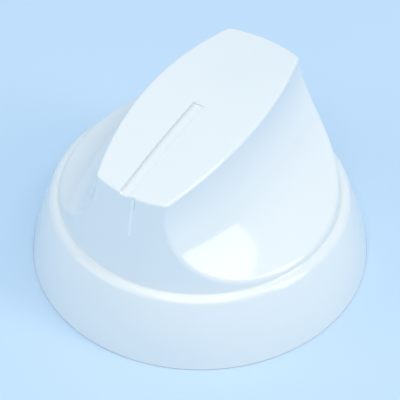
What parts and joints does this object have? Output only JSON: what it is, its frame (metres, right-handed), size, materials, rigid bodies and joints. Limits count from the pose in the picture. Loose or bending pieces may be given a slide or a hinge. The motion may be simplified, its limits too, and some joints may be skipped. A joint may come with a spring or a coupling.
{
  "type": "oven control knob",
  "caption": "Round white plastic oven control knob with a flared skirt, an arched grip bar between two finger scoops and a pointer groove; pushes on to a flatted spindle.",
  "frame": {"origin": "on the knob's axis, in the plane of the skirt's foot that faces the appliance's panel", "axes": "+Z along the axis, out of the panel; the pointer end of the grip is towards -Y; +X is across the grip"},
  "size_m": [0.05, 0.05, 0.0282],
  "materials": {
    "white_plastic": "polished moulding",
    "spring_steel": "rolled strip"
  },
  "bodies": {
    "root": {"knob": "white_plastic", "spring_band": "spring_steel"}
  },
  "joints": []
}
